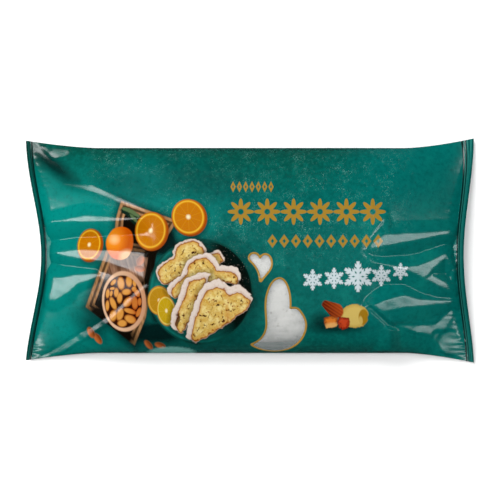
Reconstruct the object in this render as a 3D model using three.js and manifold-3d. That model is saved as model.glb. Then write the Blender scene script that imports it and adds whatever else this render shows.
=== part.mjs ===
// A flow-wrapped stollen: a sugared loaf sealed in a glossy pillow pack of printed film,
// with two clear heart-shaped windows. Millimetres, +Z up, the pack lies on its back.
// Origin: the middle of the underside. +X runs along the pack, +Y across it.

import * as THREE from "three";
import { mergeVertices } from "three/addons/utils/BufferGeometryUtils.js";
import Module from "manifold-3d";

const wasm = await Module();
wasm.setup();

// ---- Driving dimensions ----
const packLength = 279.4; // corner to corner
const bodyWidth = 127.5; // across the filled part
const packHeight = 38;
const sealWidth = 8; // crimped strip at each end
const sealThick = 1.0; // two films and their crimps
const ribCount = 5; // ribs along each crimp
const ribDepth = 0.22; // a rib stands this far above and below the crimp's middle
const filmWall = 1.3; // the film, as a solid wall
const fitGap = 0.3; // clearance between the loaf and the film
const paneGap = 0.4; // clearance round a window pane
const loafLength = 172;
const loafWidth = 114;
const equator = 13; // height at which the sides stand furthest out
const sidePower = 0.86; // roundness of the sides: lower is boxier
const sealStart = 0.9; // share of the skin's length between the two crimps
const crownDrop = 1.4; // the top is this much lower above the loaf's ends than at its middle
const flankSlope = 0.22; // how steeply the film falls away from a ridge's flat top
const flankCurve = 0.015; // and how that grows with distance
const endSlope = 0.35; // the extra fall past a ridge's ends
const cellDepth = 2.4; // how far the film sinks between the ridges
const cellEdge = 2.5; // width over which it sinks
const ridgeBlend = 0.25; // softness of the creases
const terraceRise = 1.5; // width over which a level band meets the slope beside it

// Each end: where its sides begin to flare and by how much at the corners; how far the seal
// line pulls in at its middle; the plan width that the upturned crimp shows there and at the
// corners on the +Y and -Y sides; the share of the half width where its root begins to fall,
// and the root's height at the middle and at the corners; the length of the tent that rises
// from it; and the place where the tent meets the taut body.
const ends = {
  left: {
    side: -1,
    flareStart: 94,
    flare: 4.85,
    pullIn: 10.2,
    planMid: 1.9,
    planTop: 2.8,
    planBottom: 2.2,
    fallStart: 0.2,
    rootMid: 7,
    rootCorner: 2.2,
    tent: 66,
    bodyStart: 58,
  },
  right: {
    side: 1,
    flareStart: 96,
    flare: 6.25,
    pullIn: 7.1,
    planMid: 3.1,
    planTop: 7,
    planBottom: 3.8,
    fallStart: 0.05,
    rootMid: 7.5,
    rootCorner: 2.2,
    tent: 57,
    bodyStart: 66,
  },
};

// Ridges of the taut film over the tents. Each crest runs through points of x, y, the half
// width of its flat top and its height above the smooth form.
const ridges = {
  left: [
    [
      [-128, 17.6, 0.3, 1.8],
      [-122, 18.2, 0.3, 2],
      [-102, 19.8, 2.2, 2],
      [-82, 19.5, 1.5, 1.3],
      [-62, 20, 0.3, 0.4],
    ],
    [
      [-123, -1.5, 0.2, 0.8],
      [-107.5, -2, 3, 1.6],
      [-88, -3.5, 4.2, 1.6],
      [-75, -6, 6, 1.3],
      [-61, -10, 9, 0.8],
    ],
    [
      [-133, -19, 2, 1.2],
      [-128, -22, 5, 1.4],
      [-123, -24, 7.5, 1.4],
      [-116, -22, 5.6, 1.4],
      [-108, -18, 3.2, 1.3],
      [-95, -15.5, 1.6, 0.8],
    ],
  ],
  right: [
    [
      [68.7, 0.1, 0.3, 1],
      [83.6, 6.5, 3.6, 2.2],
      [97, 8.2, 2.8, 2],
      [118, 10.8, 1.5, 1.6],
      [132, 12.3, 0.9, 1.2],
    ],
    [[83.4, 21.1, 0.3, 1], [68.9, 1.2, 0.3, 1]],
    [[83.4, 21.1, 0.3, 1], [86, 9.5, 0.6, 2.2]],
    [[68.7, -0.8, 0.3, 1], [75.3, -7.4, 0.4, 1.4], [97, -11.2, 1.2, 1.9], [107, -12.5, 4.2, 2]],
    [[107, -12.5, 4.2, 2], [113, -8.5, 2.6, 1.7], [121.5, -3, 1.3, 1.3]],
    [[121.5, -3, 0.8, 1.3], [126, -9, 0.3, 1.2], [128, -15, 0.3, 1]],
    [[107, -13.5, 4, 2], [113, -17.5, 2.2, 1.8], [119, -20.8, 2.2, 1.6], [128.5, -25, 1.1, 1.1]],
    [
      [73, -35.2, 0.3, 1],
      [82, -34.5, 3.4, 1.9],
      [95, -31.5, 4, 2.2],
      [105, -32.5, 2.2, 1.8],
      [131, -32, 0.6, 0.8],
    ],
    [[86, -36, 2.6, 2.2], [87, -45.5, 1.8, 2.6]],
  ],
};

// The film sinks between the ridges, from an upper to a lower line of x, y.
const cells = {
  left: {
    upper: [[-140, 18], [-102, 19.8], [-60, 19.8]],
    lower: [[-140, -22], [-112, -18], [-95, -15], [-88, -5], [-60, -10]],
  },
  right: {
    upper: [[60, 0], [68.7, 0.1], [85.6, 6.7], [97, 8.2], [118, 10.8], [140, 12.3]],
    lower: [[60, -35.2], [73, -35.2], [82, -34.5], [95, -31.5], [105, -32.5], [140, -32]],
  },
};

// Level bands across the film's slope, through points of x, y and half width.
const terraces = [
  [[-129, 64.3, 0.6], [-121, 61, 3.6], [-115.5, 61.3, 3.2]],
  [[-115, 41.3, 0.3], [-98, 38.5, 2.3], [-81, 31.5, 1.8], [-60, 22.8, 1]],
  [[-129, -68, 2], [-103, -52.3, 2.2], [-89, -43.6, 2], [-64, -21, 1.3]],
  [[74.2, -35.4, 0.4], [86, -46.2, 0.6], [105.5, -53.2, 0.35]],
  [[91.5, -46.2, 0.6], [104, -48.6, 2.4], [117, -49.6, 4.2], [126, -38, 1.4]],
  [[117, -54, 3], [124.5, -57.5, 7], [131, -63, 3.6]],
];

// The two window outlines in plan: a start point, then Bezier curves of two handles and an end.
const smallWindow = {
  start: [6.2, -6.8],
  curves: [
    [[6.9, -0.8], [12.9, -1.8], [12.9, -7.9]],
    [[12.9, -12.4], [9.0, -14.4], [6.6, -18.4]],
    [[6.4, -13.6], [4.4, -9.4], [0.5, -6.0]],
    [[-2.4, -2.8], [5.0, 1.2], [6.2, -6.8]],
  ],
};
const largeWindow = {
  start: [24.2, -36.8],
  curves: [
    [[26.0, -35.6], [28.8, -35.4], [30.4, -37.6]],
    [[34.2, -42.4], [34.8, -46.2], [33.2, -50.6]],
    [[30.6, -59.0], [21.6, -63.0], [12.4, -62.0]],
    [[8.0, -61.6], [4.4, -60.2], [1.4, -58.2]],
    [[6.6, -56.6], [10.0, -52.8], [10.7, -46.8]],
    [[10.9, -39.6], [8.9, -32.6], [11.6, -25.2]],
    [[12.8, -21.4], [15.0, -17.8], [18.2, -17.6]],
    [[22.0, -17.6], [25.2, -26.2], [24.2, -36.8]],
  ],
};

// ---- Small helpers ----
const clamp01 = (t) => Math.min(1, Math.max(0, t));
const mix = (a, b, t) => a + (b - a) * t;
const smooth = (t) => clamp01(t) ** 2 * (3 - 2 * clamp01(t));
const power = (t, exponent) => Math.sign(t) * Math.abs(t) ** exponent;

// The y of a line of x, y points at x.
function lineAt(line, x) {
  const i = Math.max(1, line.findIndex(([px]) => px >= x));
  const [ax, ay] = line[i - 1];
  const [bx, by] = line[i];
  return mix(ay, by, clamp01((x - ax) / (bx - ax)));
}

// Where x, y lies beside the piece of a path from a to b: its share along it and its distance.
function besideSpan(x, y, [ax, ay], [bx, by]) {
  const along = ((x - ax) * (bx - ax) + (y - ay) * (by - ay)) / Math.hypot(bx - ax, by - ay) ** 2;
  const share = clamp01(along);
  return { share, distance: Math.hypot(x - mix(ax, bx, share), y - mix(ay, by, share)) };
}

// ---- The pillow form ----
// Half the width in plan at a place along the pack: the flat corners flare out.
function halfWidth(x) {
  const { flareStart, flare } = x < 0 ? ends.left : ends.right;
  const share = clamp01((Math.abs(x) - flareStart) / (packLength / 2 - flareStart));
  return bodyWidth / 2 + flare * share ** 1.5;
}

// The root line of an end's crimp at v, from -1 to 1 across the pack: how far out it lies,
// and the plan width, rise and root height of the crimp.
function sealRoot(end, v) {
  const away = Math.abs(v) ** 1.3;
  const plan = mix(end.planMid, v > 0 ? end.planTop : end.planBottom, v ** 4);
  const w = (v + 0.05) / (v > -0.05 ? 1.05 : 0.95);
  const bow = mix((1 + Math.cos(Math.PI * w)) / 2, 1 - w ** 2, w > 0 ? 0.2 : 0.4);
  const fall = smooth((Math.abs(v) - end.fallStart) / 0.68);
  return {
    reach: packLength / 2 - end.pullIn * bow - plan,
    plan,
    rise: Math.sqrt(sealWidth ** 2 - plan ** 2) * mix(1, 0.25, away ** 3),
    height: mix(end.rootMid, end.rootCorner, fall),
  };
}

// 0 at the seal and 1 over the loaf.
function liftAt(end, reach, x) {
  const share = clamp01((reach - Math.abs(x)) / end.tent);
  return mix(share, Math.sin((share * Math.PI) / 2), 0.6);
}

// Height of the upper film over a plan point, without its ridges.
function smoothTop(end, x, y) {
  const v = Math.max(-1, Math.min(1, y / halfWidth(x)));
  const root = sealRoot(end, v);
  const lift = liftAt(end, root.reach, x);
  const crossing = Math.sqrt(Math.max(0, 1 - Math.abs(v) ** (2 / sidePower)));
  const roundness = mix(1 - Math.abs(v) ** 2.4, crossing ** 0.8, smooth(lift * 1.1 - 0.1));
  const middle = mix(root.height, equator, lift);
  const drop = crownDrop * smooth(Math.abs(x) / 85) * roundness;
  return middle + (packHeight - equator) * lift * roundness - drop;
}

// Height of one ridge: a top that is level across the pack, with even flanks.
function ridgeTop(end, x, y, crest) {
  let highest = -Infinity;
  for (let i = 1; i < crest.length; i += 1) {
    const [ax, ay, topA, highA] = crest[i - 1];
    const [bx, by, topB, highB] = crest[i];
    const { share, distance } = besideSpan(x, y, crest[i - 1], crest[i]);
    const beyond = Math.max(0, distance - mix(topA, topB, share));
    const past = Math.max(0, Math.min(ax, bx) - x) + Math.max(0, x - Math.max(ax, bx));
    const runsAlong = Math.abs(bx - ax) > 0.4 * Math.abs(by - ay);
    const t = runsAlong ? clamp01((x - ax) / (bx - ax)) : share;
    const crestHeight = smoothTop(end, x, mix(ay, by, t)) + mix(highA, highB, t);
    highest = Math.max(highest, crestHeight - flankSlope * beyond - flankCurve * beyond ** 2 - endSlope * past);
  }
  return highest;
}

// How far the ridges, cells and level bands lift the upper film above the smooth form.
function ridgeRelief(end, x, y) {
  const base = smoothTop(end, x, y);
  const name = end.side < 0 ? "left" : "right";
  const upper = lineAt(cells[name].upper, x);
  const lower = lineAt(cells[name].lower, x);
  const between = smooth((upper - y) / cellEdge) * smooth((y - lower) / cellEdge);
  let total = Math.exp((-cellDepth * between) / ridgeBlend);
  for (const crest of ridges[name]) {
    total += Math.exp((ridgeTop(end, x, y, crest) - base) / ridgeBlend);
  }
  let relief = ridgeBlend * Math.log(total);
  for (const band of terraces) {
    for (let i = 1; i < band.length; i += 1) {
      const [ax, ay, halfA] = band[i - 1];
      const [bx, by, halfB] = band[i];
      const { share, distance } = besideSpan(x, y, band[i - 1], band[i]);
      const weight = 1 - smooth((distance - mix(halfA, halfB, share)) / terraceRise);
      const level = smoothTop(end, x, mix(ay, by, clamp01((x - ax) / (bx - ax))));
      relief = mix(relief, level - base, weight);
    }
  }
  return relief;
}

// A point of the pack's skin. along and across run from -1 to 1; layer is 1 for the upper
// film and -1 for the lower one; inset moves the skin inwards, for the hollow inside.
function skinPoint(along, across, layer, inset) {
  const end = along < 0 ? ends.left : ends.right;
  const angle = (across * Math.PI) / 2;
  const v = power(Math.sin(angle), sidePower);
  const root = sealRoot(end, v);
  const body = Math.min(1, Math.abs(along) / sealStart);
  const pulled = packLength / 2 - root.plan - root.reach;
  const straight = body * (packLength / 2 - root.plan) - pulled * body ** 5;
  const x = end.side * Math.min(straight, root.reach);
  const skinY = v * halfWidth(x);
  const y = v * (halfWidth(x) - inset);
  const crimp = (Math.abs(along) - sealStart) / (1 - sealStart);
  if (crimp > 0) {
    const tilt = Math.atan2(root.rise, root.plan);
    const rib = -ribDepth * Math.cos(2 * Math.PI * ribCount * crimp);
    const off = (layer * sealThick) / 2 + rib;
    const out = root.plan * crimp - off * Math.sin(tilt);
    const up = root.rise * crimp + off * Math.cos(tilt);
    const tipX = end.side * (root.reach + out);
    return [tipX, v * halfWidth(tipX), root.height + up];
  }
  const lift = liftAt(end, root.reach, x);
  const crossing = Math.cos(angle);
  if (layer > 0) {
    const tent = smooth((Math.abs(x) - end.bodyStart) / 14);
    const fade = smooth((root.reach - Math.abs(x)) / 2.6) * smooth(crossing * 3.2) * tent;
    const relief = fade > 0 && inset === 0 ? ridgeRelief(end, x, y) * fade : 0;
    return [x, y, smoothTop(end, x, skinY) + relief + sealThick / 2 - inset * crossing ** 0.8];
  }
  const middle = mix(root.height, equator, lift);
  const below = equator * 1.25 * lift * crossing ** 0.5;
  return [x, y, Math.max(0, middle - sealThick / 2 - below) + inset];
}

// A closed body made by bending a fine box onto a surface function of its -1..1 coordinates.
function bentBox(alongSteps, acrossSteps, place) {
  const box = new THREE.BoxGeometry(2, 2, 2, alongSteps, acrossSteps, 1);
  box.deleteAttribute("normal");
  box.deleteAttribute("uv");
  const geometry = mergeVertices(box);
  const points = geometry.attributes.position;
  for (let i = 0; i < points.count; i += 1) {
    points.setXYZ(i, ...place(points.getX(i), points.getY(i), points.getZ(i)));
  }
  return geometry;
}

// Spread the even steps of the skin's -1..1 grid: crowded towards the seals, where the folds
// are, then two steps for each rib of the crimps.
const bodySteps = 46;
const skinSteps = bodySteps + 4 * ribCount;
function spreadSteps(t) {
  const bodyShare = bodySteps / skinSteps;
  const body = t / bodyShare;
  if (Math.abs(body) <= 1) return sealStart * (Math.sin((body * Math.PI) / 2) * 0.55 + body * 0.45);
  const crimp = (Math.abs(t) - bodyShare) / (1 - bodyShare);
  return Math.sign(t) * mix(sealStart, 1, crimp);
}

function outerSkin() {
  const acrossSteps = 30;
  return bentBox(skinSteps, acrossSteps, (a, b, c) => skinPoint(spreadSteps(a), b, Math.sign(c), 0));
}

// The space inside the film. It stops short of the crimps, narrows where the tents grow
// thin and stays below the folds.
function hollow() {
  const gridEnd = sealStart * 0.82;
  const underFolds = 3.2;
  const leastHeight = 0.8;
  return bentBox(20, 14, (a, b, c) => {
    const narrow = mix(1, 0.62, Math.abs(a) ** 5);
    const low = skinPoint(a * gridEnd, b * narrow, -1, filmWall);
    if (c < 0) return low;
    const [x, y, z] = skinPoint(a * gridEnd, b * narrow, 1, filmWall);
    const lowered = z - underFolds * smooth((Math.abs(x) - 52) / 12);
    return [x, y, Math.max(lowered, low[2] + leastHeight)];
  });
}

// ---- Windows ----
// An outline, moved inwards by inset. turn is 1 for an outline drawn anticlockwise.
function outlineShape({ start, curves }, inset) {
  const leastMiter = 0.45;
  const path = new THREE.Path().moveTo(...start);
  for (const [first, second, stop] of curves) {
    path.bezierCurveTo(...first, ...second, ...stop);
  }
  const points = path.getPoints(6).slice(0, -1);
  const shape = new THREE.Shape(points);
  if (inset === 0) return shape;
  const turn = Math.sign(THREE.ShapeUtils.area(points));
  const moved = points.map((point, i) => {
    const before = points[(i + points.length - 1) % points.length];
    const after = points[(i + 1) % points.length];
    const arriving = point.clone().sub(before).normalize();
    const leaving = after.clone().sub(point).normalize();
    const along = arriving.add(leaving).multiplyScalar(0.5);
    const reach = inset / Math.max(along.length(), leastMiter) ** 2; // sharp corners move further
    return new THREE.Vector2(point.x - along.y * reach * turn, point.y + along.x * reach * turn);
  });
  return new THREE.Shape(moved);
}

// The upright prism that cuts a window through the upper film only.
function windowPrism(outline, inset) {
  const floor = equator + 1 + inset;
  const settings = { depth: packHeight + 6 - floor, bevelEnabled: false, steps: 1 };
  const prism = new THREE.ExtrudeGeometry(outlineShape(outline, inset), settings);
  prism.translate(0, 0, floor);
  return prism;
}

// ---- Loaf ----
// A long domed loaf with a lengthwise fold off centre and a lumpy coat of icing sugar.
function loafPoint(a, b, c) {
  const across = (b * Math.PI) / 2;
  const endward = (a * Math.PI) / 2;
  const x = (loafLength / 2) * power(Math.sin(endward), 0.9);
  const endRound = power(Math.cos(endward), 0.42);
  const y = (loafWidth / 2) * power(Math.sin(across), 0.9) * mix(0.62, 1, endRound);
  const base = filmWall + fitGap;
  const edge = base + 9; // height of the loaf's widest line
  if (c < 0) return [x, y, mix(edge - 1, base, power(Math.cos(across), 0.4) * endRound)];
  const lumps = 0.5 * Math.sin(x * 0.21 + 1.3) * Math.cos(y * 0.17) + 0.3 * Math.sin(x * 0.47 + y * 0.39);
  const foldGroove = -2.2 * Math.exp(-(((y - 26 - 0.03 * x) / 5) ** 2));
  const drop = crownDrop * smooth(Math.abs(x) / 85);
  const crown = packHeight - filmWall - 1.9 + foldGroove + lumps - drop;
  return [x, y, mix(edge, crown, power(Math.cos(across), 0.8) * endRound)];
}

function loaf() {
  return bentBox(26, 18, (a, b, c) => loafPoint(a, b, Math.sign(c)));
}

// ---- Solids ----
function toSolid(geometry) {
  const bare = geometry.clone();
  bare.deleteAttribute("normal");
  bare.deleteAttribute("uv");
  const merged = mergeVertices(bare, 1e-5);
  const mesh = new wasm.Mesh({
    numProp: 3,
    vertProperties: new Float32Array(merged.attributes.position.array),
    triVerts: new Uint32Array(merged.index.array),
  });
  return new wasm.Manifold(mesh);
}

function toGeometry(solid) {
  const { vertProperties, triVerts } = solid.getMesh();
  const geometry = new THREE.BufferGeometry();
  geometry.setAttribute("position", new THREE.BufferAttribute(vertProperties, 3));
  geometry.setIndex(new THREE.BufferAttribute(triVerts, 1));
  geometry.computeVertexNormals();
  return geometry;
}

// ---- Materials ----
const printedFilm = new THREE.MeshStandardMaterial({ color: 0x0a6e66, roughness: 0.22, metalness: 0 });
const clearFilm = new THREE.MeshStandardMaterial({
  color: 0xdfe4e0,
  roughness: 0.12,
  metalness: 0,
  transparent: true,
  opacity: 0.35,
});
const sugaredCrust = new THREE.MeshStandardMaterial({ color: 0xd8d3c8, roughness: 0.95, metalness: 0 });

function addPiece(group, name, geometry, material) {
  const mesh = new THREE.Mesh(geometry, material);
  mesh.name = name;
  group.add(mesh);
}

// ---- Assembly ----
function buildPack() {
  const group = new THREE.Group();
  const wall = toSolid(outerSkin()).subtract(toSolid(hollow()));
  let wrapper = wall;
  const windows = { window_small: smallWindow, window_large: largeWindow };
  for (const [name, outline] of Object.entries(windows)) {
    wrapper = wrapper.subtract(toSolid(windowPrism(outline, 0)));
    const pane = wall.intersect(toSolid(windowPrism(outline, paneGap)));
    addPiece(group, name, toGeometry(pane), clearFilm);
  }
  addPiece(group, "wrapper", toGeometry(wrapper), printedFilm);
  addPiece(group, "stollen", loaf(), sugaredCrust);
  return group;
}

export default buildPack();
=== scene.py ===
import math

import bpy
import numpy as np
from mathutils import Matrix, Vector, noise


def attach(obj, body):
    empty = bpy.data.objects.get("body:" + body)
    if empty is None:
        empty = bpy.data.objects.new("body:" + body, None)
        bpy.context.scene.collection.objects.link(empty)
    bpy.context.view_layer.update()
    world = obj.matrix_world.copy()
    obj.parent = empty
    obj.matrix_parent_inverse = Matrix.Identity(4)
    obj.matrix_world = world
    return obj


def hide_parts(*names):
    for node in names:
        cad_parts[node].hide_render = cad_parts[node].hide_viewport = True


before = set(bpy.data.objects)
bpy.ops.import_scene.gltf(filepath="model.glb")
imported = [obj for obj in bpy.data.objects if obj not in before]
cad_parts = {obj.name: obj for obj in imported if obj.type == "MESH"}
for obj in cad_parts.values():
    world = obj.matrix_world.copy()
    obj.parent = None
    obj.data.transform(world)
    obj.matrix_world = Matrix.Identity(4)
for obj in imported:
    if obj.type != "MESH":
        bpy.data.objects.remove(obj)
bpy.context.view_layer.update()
print("frame loaded")

mm = 0.001

# the pillow form, in millimetres
pack = {
    "length": 279.4,  # corner to corner
    "bodyWidth": 127.5,
    "height": 38,
    "equator": 13,  # height where the sides stand furthest out
    "crownDrop": 1.4,  # the top sinks this much towards the loaf's ends
    "crownReach": 85,  # and reaches that depth this far from the middle
    "sidePower": 0.86,  # roundness of the sides: lower is boxier
    "topPower": 0.8,  # and of the top, across the body
    "tentPower": 2.4,  # across the tents: higher is boxier
    "tentRound": 0.6,  # along the tents, from straight to a quarter wave
    "underPower": 0.5,  # and of the lower film
    "flarePower": 1.5,  # higher keeps the sides' flare closer to the corners
    "belly": 1.25,  # how far the lower film falls, as a share of the equator's height
}
seal = {
    "width": 8,
    "thick": 0.5,  # between the two films' outer faces
    "ribs": 5,
    "ribDepth": 0.2,
    "paintedRibLines": 3,  # painted light lines across the print, standing for the lit flanks of the crimp's ribs
    "bowOffset": 0.05,  # how far below the middle it bows in deepest, as a share of the half width
    "bowRound": (0.2, 0.4),  # how round the bow is above and below that
    "cornerRise": 0.25,  # share of its rise that is left at the corners
    "fallLength": 0.68,  # the root falls to its corners over this share of the half width
    "pullPower": 5,  # higher keeps the film's pull closer to the crimp
    "spreadRate": 12,  # it reaches its full thickness over a twelfth of its width
}
ends = {
    "left": {"side": -1, "flareStart": 94, "flare": 4.85, "pullIn": 10.2, "planMid": 1.9, "planTop": 2.8,
             "planBottom": 2.2, "fallStart": 0.2, "rootMid": 7, "rootCorner": 2.2, "tent": 66,
             "bodyStart": 58},
    "right": {"side": 1, "flareStart": 96, "flare": 6.25, "pullIn": 7.1, "planMid": 3.1, "planTop": 7,
              "planBottom": 3.8, "fallStart": 0.05, "rootMid": 7.5, "rootCorner": 2.2, "tent": 57,
              "bodyStart": 66},
}

# ridges of the taut film in the end tents: each crest runs through points of x, y, the half
# width of its flat top and its height above the smooth form
ridges = {
    "left": [
        [(-128, 17.6, 0.3, 1.8), (-122, 18.2, 0.3, 2), (-102, 19.8, 2.2, 2), (-82, 19.5, 1.5, 1.3),
         (-62, 20, 0.3, 0.4)],
        [(-123, -1.5, 0.2, 0.8), (-107.5, -2, 3, 1.6), (-88, -3.5, 4.2, 1.6), (-75, -6, 6, 1.3),
         (-61, -10, 9, 0.8)],
        [(-133, -19, 2, 1.2), (-128, -22, 5, 1.4), (-123, -24, 7.5, 1.4), (-116, -22, 5.6, 1.4),
         (-108, -18, 3.2, 1.3), (-95, -15.5, 1.6, 0.8)],
    ],
    "right": [
        [(68.7, 0.1, 0.3, 1), (83.6, 6.5, 3.6, 2.2), (97, 8.2, 2.8, 2), (118, 10.8, 1.5, 1.6),
         (132, 12.3, 0.9, 1.2)],
        [(83.4, 21.1, 0.3, 1), (68.9, 1.2, 0.3, 1)],
        [(83.4, 21.1, 0.3, 1), (86, 9.5, 0.6, 2.2)],
        [(68.7, -0.8, 0.3, 1), (75.3, -7.4, 0.4, 1.4), (97, -11.2, 1.2, 1.9), (107, -12.5, 4.2, 2)],
        [(107, -12.5, 4.2, 2), (113, -8.5, 2.6, 1.7), (121.5, -3, 1.3, 1.3)],
        [(121.5, -3, 0.8, 1.3), (126, -9, 0.3, 1.2), (128, -15, 0.3, 1)],
        [(107, -13.5, 4, 2), (113, -17.5, 2.2, 1.8), (119, -20.8, 2.2, 1.6), (128.5, -25, 1.1, 1.1)],
        [(73, -35.2, 0.3, 1), (82, -34.5, 3.4, 1.9), (95, -31.5, 4, 2.2), (105, -32.5, 2.2, 1.8),
         (131, -32, 0.6, 0.8)],
        [(86, -36, 2.6, 2.2), (87, -45.5, 1.8, 2.6)],
    ],
}
# the film sinks between the ridges, from an upper to a lower line of x, y
cells = {
    "left": {"upper": [(-140, 18), (-102, 19.8), (-60, 19.8)],
             "lower": [(-140, -22), (-112, -18), (-95, -15), (-88, -5), (-60, -10)]},
    "right": {"upper": [(60, 0), (68.7, 0.1), (85.6, 6.7), (97, 8.2), (118, 10.8), (140, 12.3)],
              "lower": [(60, -35.2), (73, -35.2), (82, -34.5), (95, -31.5), (105, -32.5), (140, -32)]},
}
# level bands across the film's slope, through points of x, y and half width
terraces = [
    [(-129, 64.3, 0.6), (-121, 61, 3.6), (-115.5, 61.3, 3.2)],
    [(-115, 41.3, 0.3), (-98, 38.5, 2.3), (-81, 31.5, 1.8), (-60, 22.8, 1)],
    [(-129, -68, 2), (-103, -52.3, 2.2), (-89, -43.6, 2), (-64, -21, 1.3)],
    [(74.2, -35.4, 0.4), (86, -46.2, 0.6), (105.5, -53.2, 0.35)],
    [(91.5, -46.2, 0.6), (104, -48.6, 2.4), (117, -49.6, 4.2), (126, -38, 1.4)],
    [(117, -54, 3), (124.5, -57.5, 7), (131, -63, 3.6)],
]
fold = {
    "flankSlope": 0.22,  # how steeply the film falls away from a ridge's flat top
    "flankCurve": 0.015,
    "endSlope": 0.35,  # the extra fall past a ridge's ends
    "alongRun": 0.4,  # a piece with less run in x than this times its run in y has no level top
    "cellDepth": 2.4,
    "cellEdge": 2.5,
    "bodyBlend": 9,  # length over which the tents' relief sets in
    "soften": 0.05,
    "terraceRise": 1.5,
    "groove": [(-137, 64.8), (-123.5, 53.3), (-106, 41)],  # the deep crease at one corner
    "grooveEnds": [(-138, 8), (-104, -18)],  # x where it starts and stops, and over what length
    "grooveHalf": 3,
    "grooveDepth": 0.4,
    "sealBlend": 2.6,  # the relief fades out over this length at the crimps
    "sideBlend": 3.2,
}
# gathers where the film runs into the crimps: y, half length and height
gathers = {
    "left": [(44, 12, 0.22), (16, 3, 0.2), (5, 3, 0.25), (-62, 5, 0.25)],
    "right": [(27, 7, 0.45), (0, 7, 0.5), (-14, 7, 0.5), (-38, 8, 0.6), (-58, 6, 0.4)],
}
gatherForm = {"rise": 1.4, "fade": 3.2, "waves": 1.75, "wander": 1.9, "wanderWaves": 0.31}

# faint ripples of the film over the tents: height, length, heading and start
ripples = [(0.03, 23.0, 0.4, 0.3), (0.02, 14.0, 1.9, 1.7), (0.014, 9.5, 2.7, 4.1), (0.009, 6.2, 1.1, 2.6)]


def mix(a, b, t):
    return a + (b - a) * t


def clamp01(t):
    return np.clip(t, 0.0, 1.0)


def smooth(t):
    t = clamp01(t)
    return t * t * (3 - 2 * t)


def power(t, exponent):
    return np.sign(t) * np.abs(t) ** exponent


def endValue(side, key):
    return np.where(side < 0, ends["left"][key], ends["right"][key])


def halfWidth(x):
    start = endValue(x, "flareStart")
    flare = clamp01((np.abs(x) - start) / (pack["length"] / 2 - start))
    return pack["bodyWidth"] / 2 + endValue(x, "flare") * flare ** pack["flarePower"]


def sealRoot(side, v):
    # the root line of a crimp: its plan place, its plan width, its rise and its height
    away = np.abs(v) ** 1.3
    corner = np.where(v > 0, endValue(side, "planTop"), endValue(side, "planBottom"))
    plan = mix(endValue(side, "planMid"), corner, v**4)
    offset = seal["bowOffset"]
    w = (v + offset) / np.where(v > -offset, 1 + offset, 1 - offset)
    bow = mix((1 + np.cos(math.pi * w)) / 2, 1 - w**2, np.where(w > 0, *seal["bowRound"]))
    edge = pack["length"] / 2 - endValue(side, "pullIn") * bow
    rise = np.sqrt(seal["width"] ** 2 - plan**2) * mix(1, seal["cornerRise"], away**3)
    fall = smooth((np.abs(v) - endValue(side, "fallStart")) / seal["fallLength"])
    height = mix(endValue(side, "rootMid"), endValue(side, "rootCorner"), fall)
    return edge - plan, plan, rise, height


def liftOf(side, reach, x):
    # 0 at the seal, 1 over the loaf
    share = clamp01((reach - np.abs(x)) / endValue(side, "tent"))
    return mix(share, np.sin(share * math.pi / 2), pack["tentRound"])


def smoothTop(side, x, y):
    # height of the upper film over the plan, without folds
    v = np.clip(y / halfWidth(x), -1, 1)
    reach, _, _, rootHeight = sealRoot(side, v)
    lift = liftOf(side, reach, x)
    crossing = np.sqrt(np.maximum(0, 1 - np.abs(v) ** (2 / pack["sidePower"])))
    overTent, overBody = 1 - np.abs(v) ** pack["tentPower"], crossing ** pack["topPower"]
    roundness = mix(overTent, overBody, smooth(lift * 1.1 - 0.1))
    middle = mix(rootHeight, pack["equator"], lift)
    drop = pack["crownDrop"] * smooth(np.abs(x) / pack["crownReach"]) * roundness
    return middle + (pack["height"] - pack["equator"]) * lift * roundness - drop


def toPiece(x, y, start, stop):
    # share of the way along a straight piece, and the distance to it
    (ax, ay), (bx, by) = start, stop
    t = clamp01(((x - ax) * (bx - ax) + (y - ay) * (by - ay)) / math.dist(start, stop) ** 2)
    return t, np.hypot(x - mix(ax, bx, t), y - mix(ay, by, t))


def toPath(x, y, path):
    best = np.full(np.shape(x), 1e9)
    for start, stop in zip(path, path[1:]):
        best = np.minimum(best, toPiece(x, y, start, stop)[1])
    return best


def ridgeHeight(side, x, y, ridge):
    # height of one ridge: a top that is level across the pack, with even flanks
    best = np.full(x.shape, -1e9)
    for (ax, ay, topA, highA), (bx, by, topB, highB) in zip(ridge, ridge[1:]):
        t, distance = toPiece(x, y, (ax, ay), (bx, by))
        beyond = np.maximum(0, distance - mix(topA, topB, t))
        past = np.maximum(0, np.minimum(ax, bx) - x) + np.maximum(0, x - np.maximum(ax, bx))
        if abs(bx - ax) > fold["alongRun"] * abs(by - ay):
            t = clamp01((x - ax) / (bx - ax))
        crest = smoothTop(side, x, mix(ay, by, t)) + mix(highA, highB, t)
        drop = fold["flankSlope"] * beyond + fold["flankCurve"] * beyond**2 + fold["endSlope"] * past
        best = np.maximum(best, crest - drop)
    return best


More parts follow.
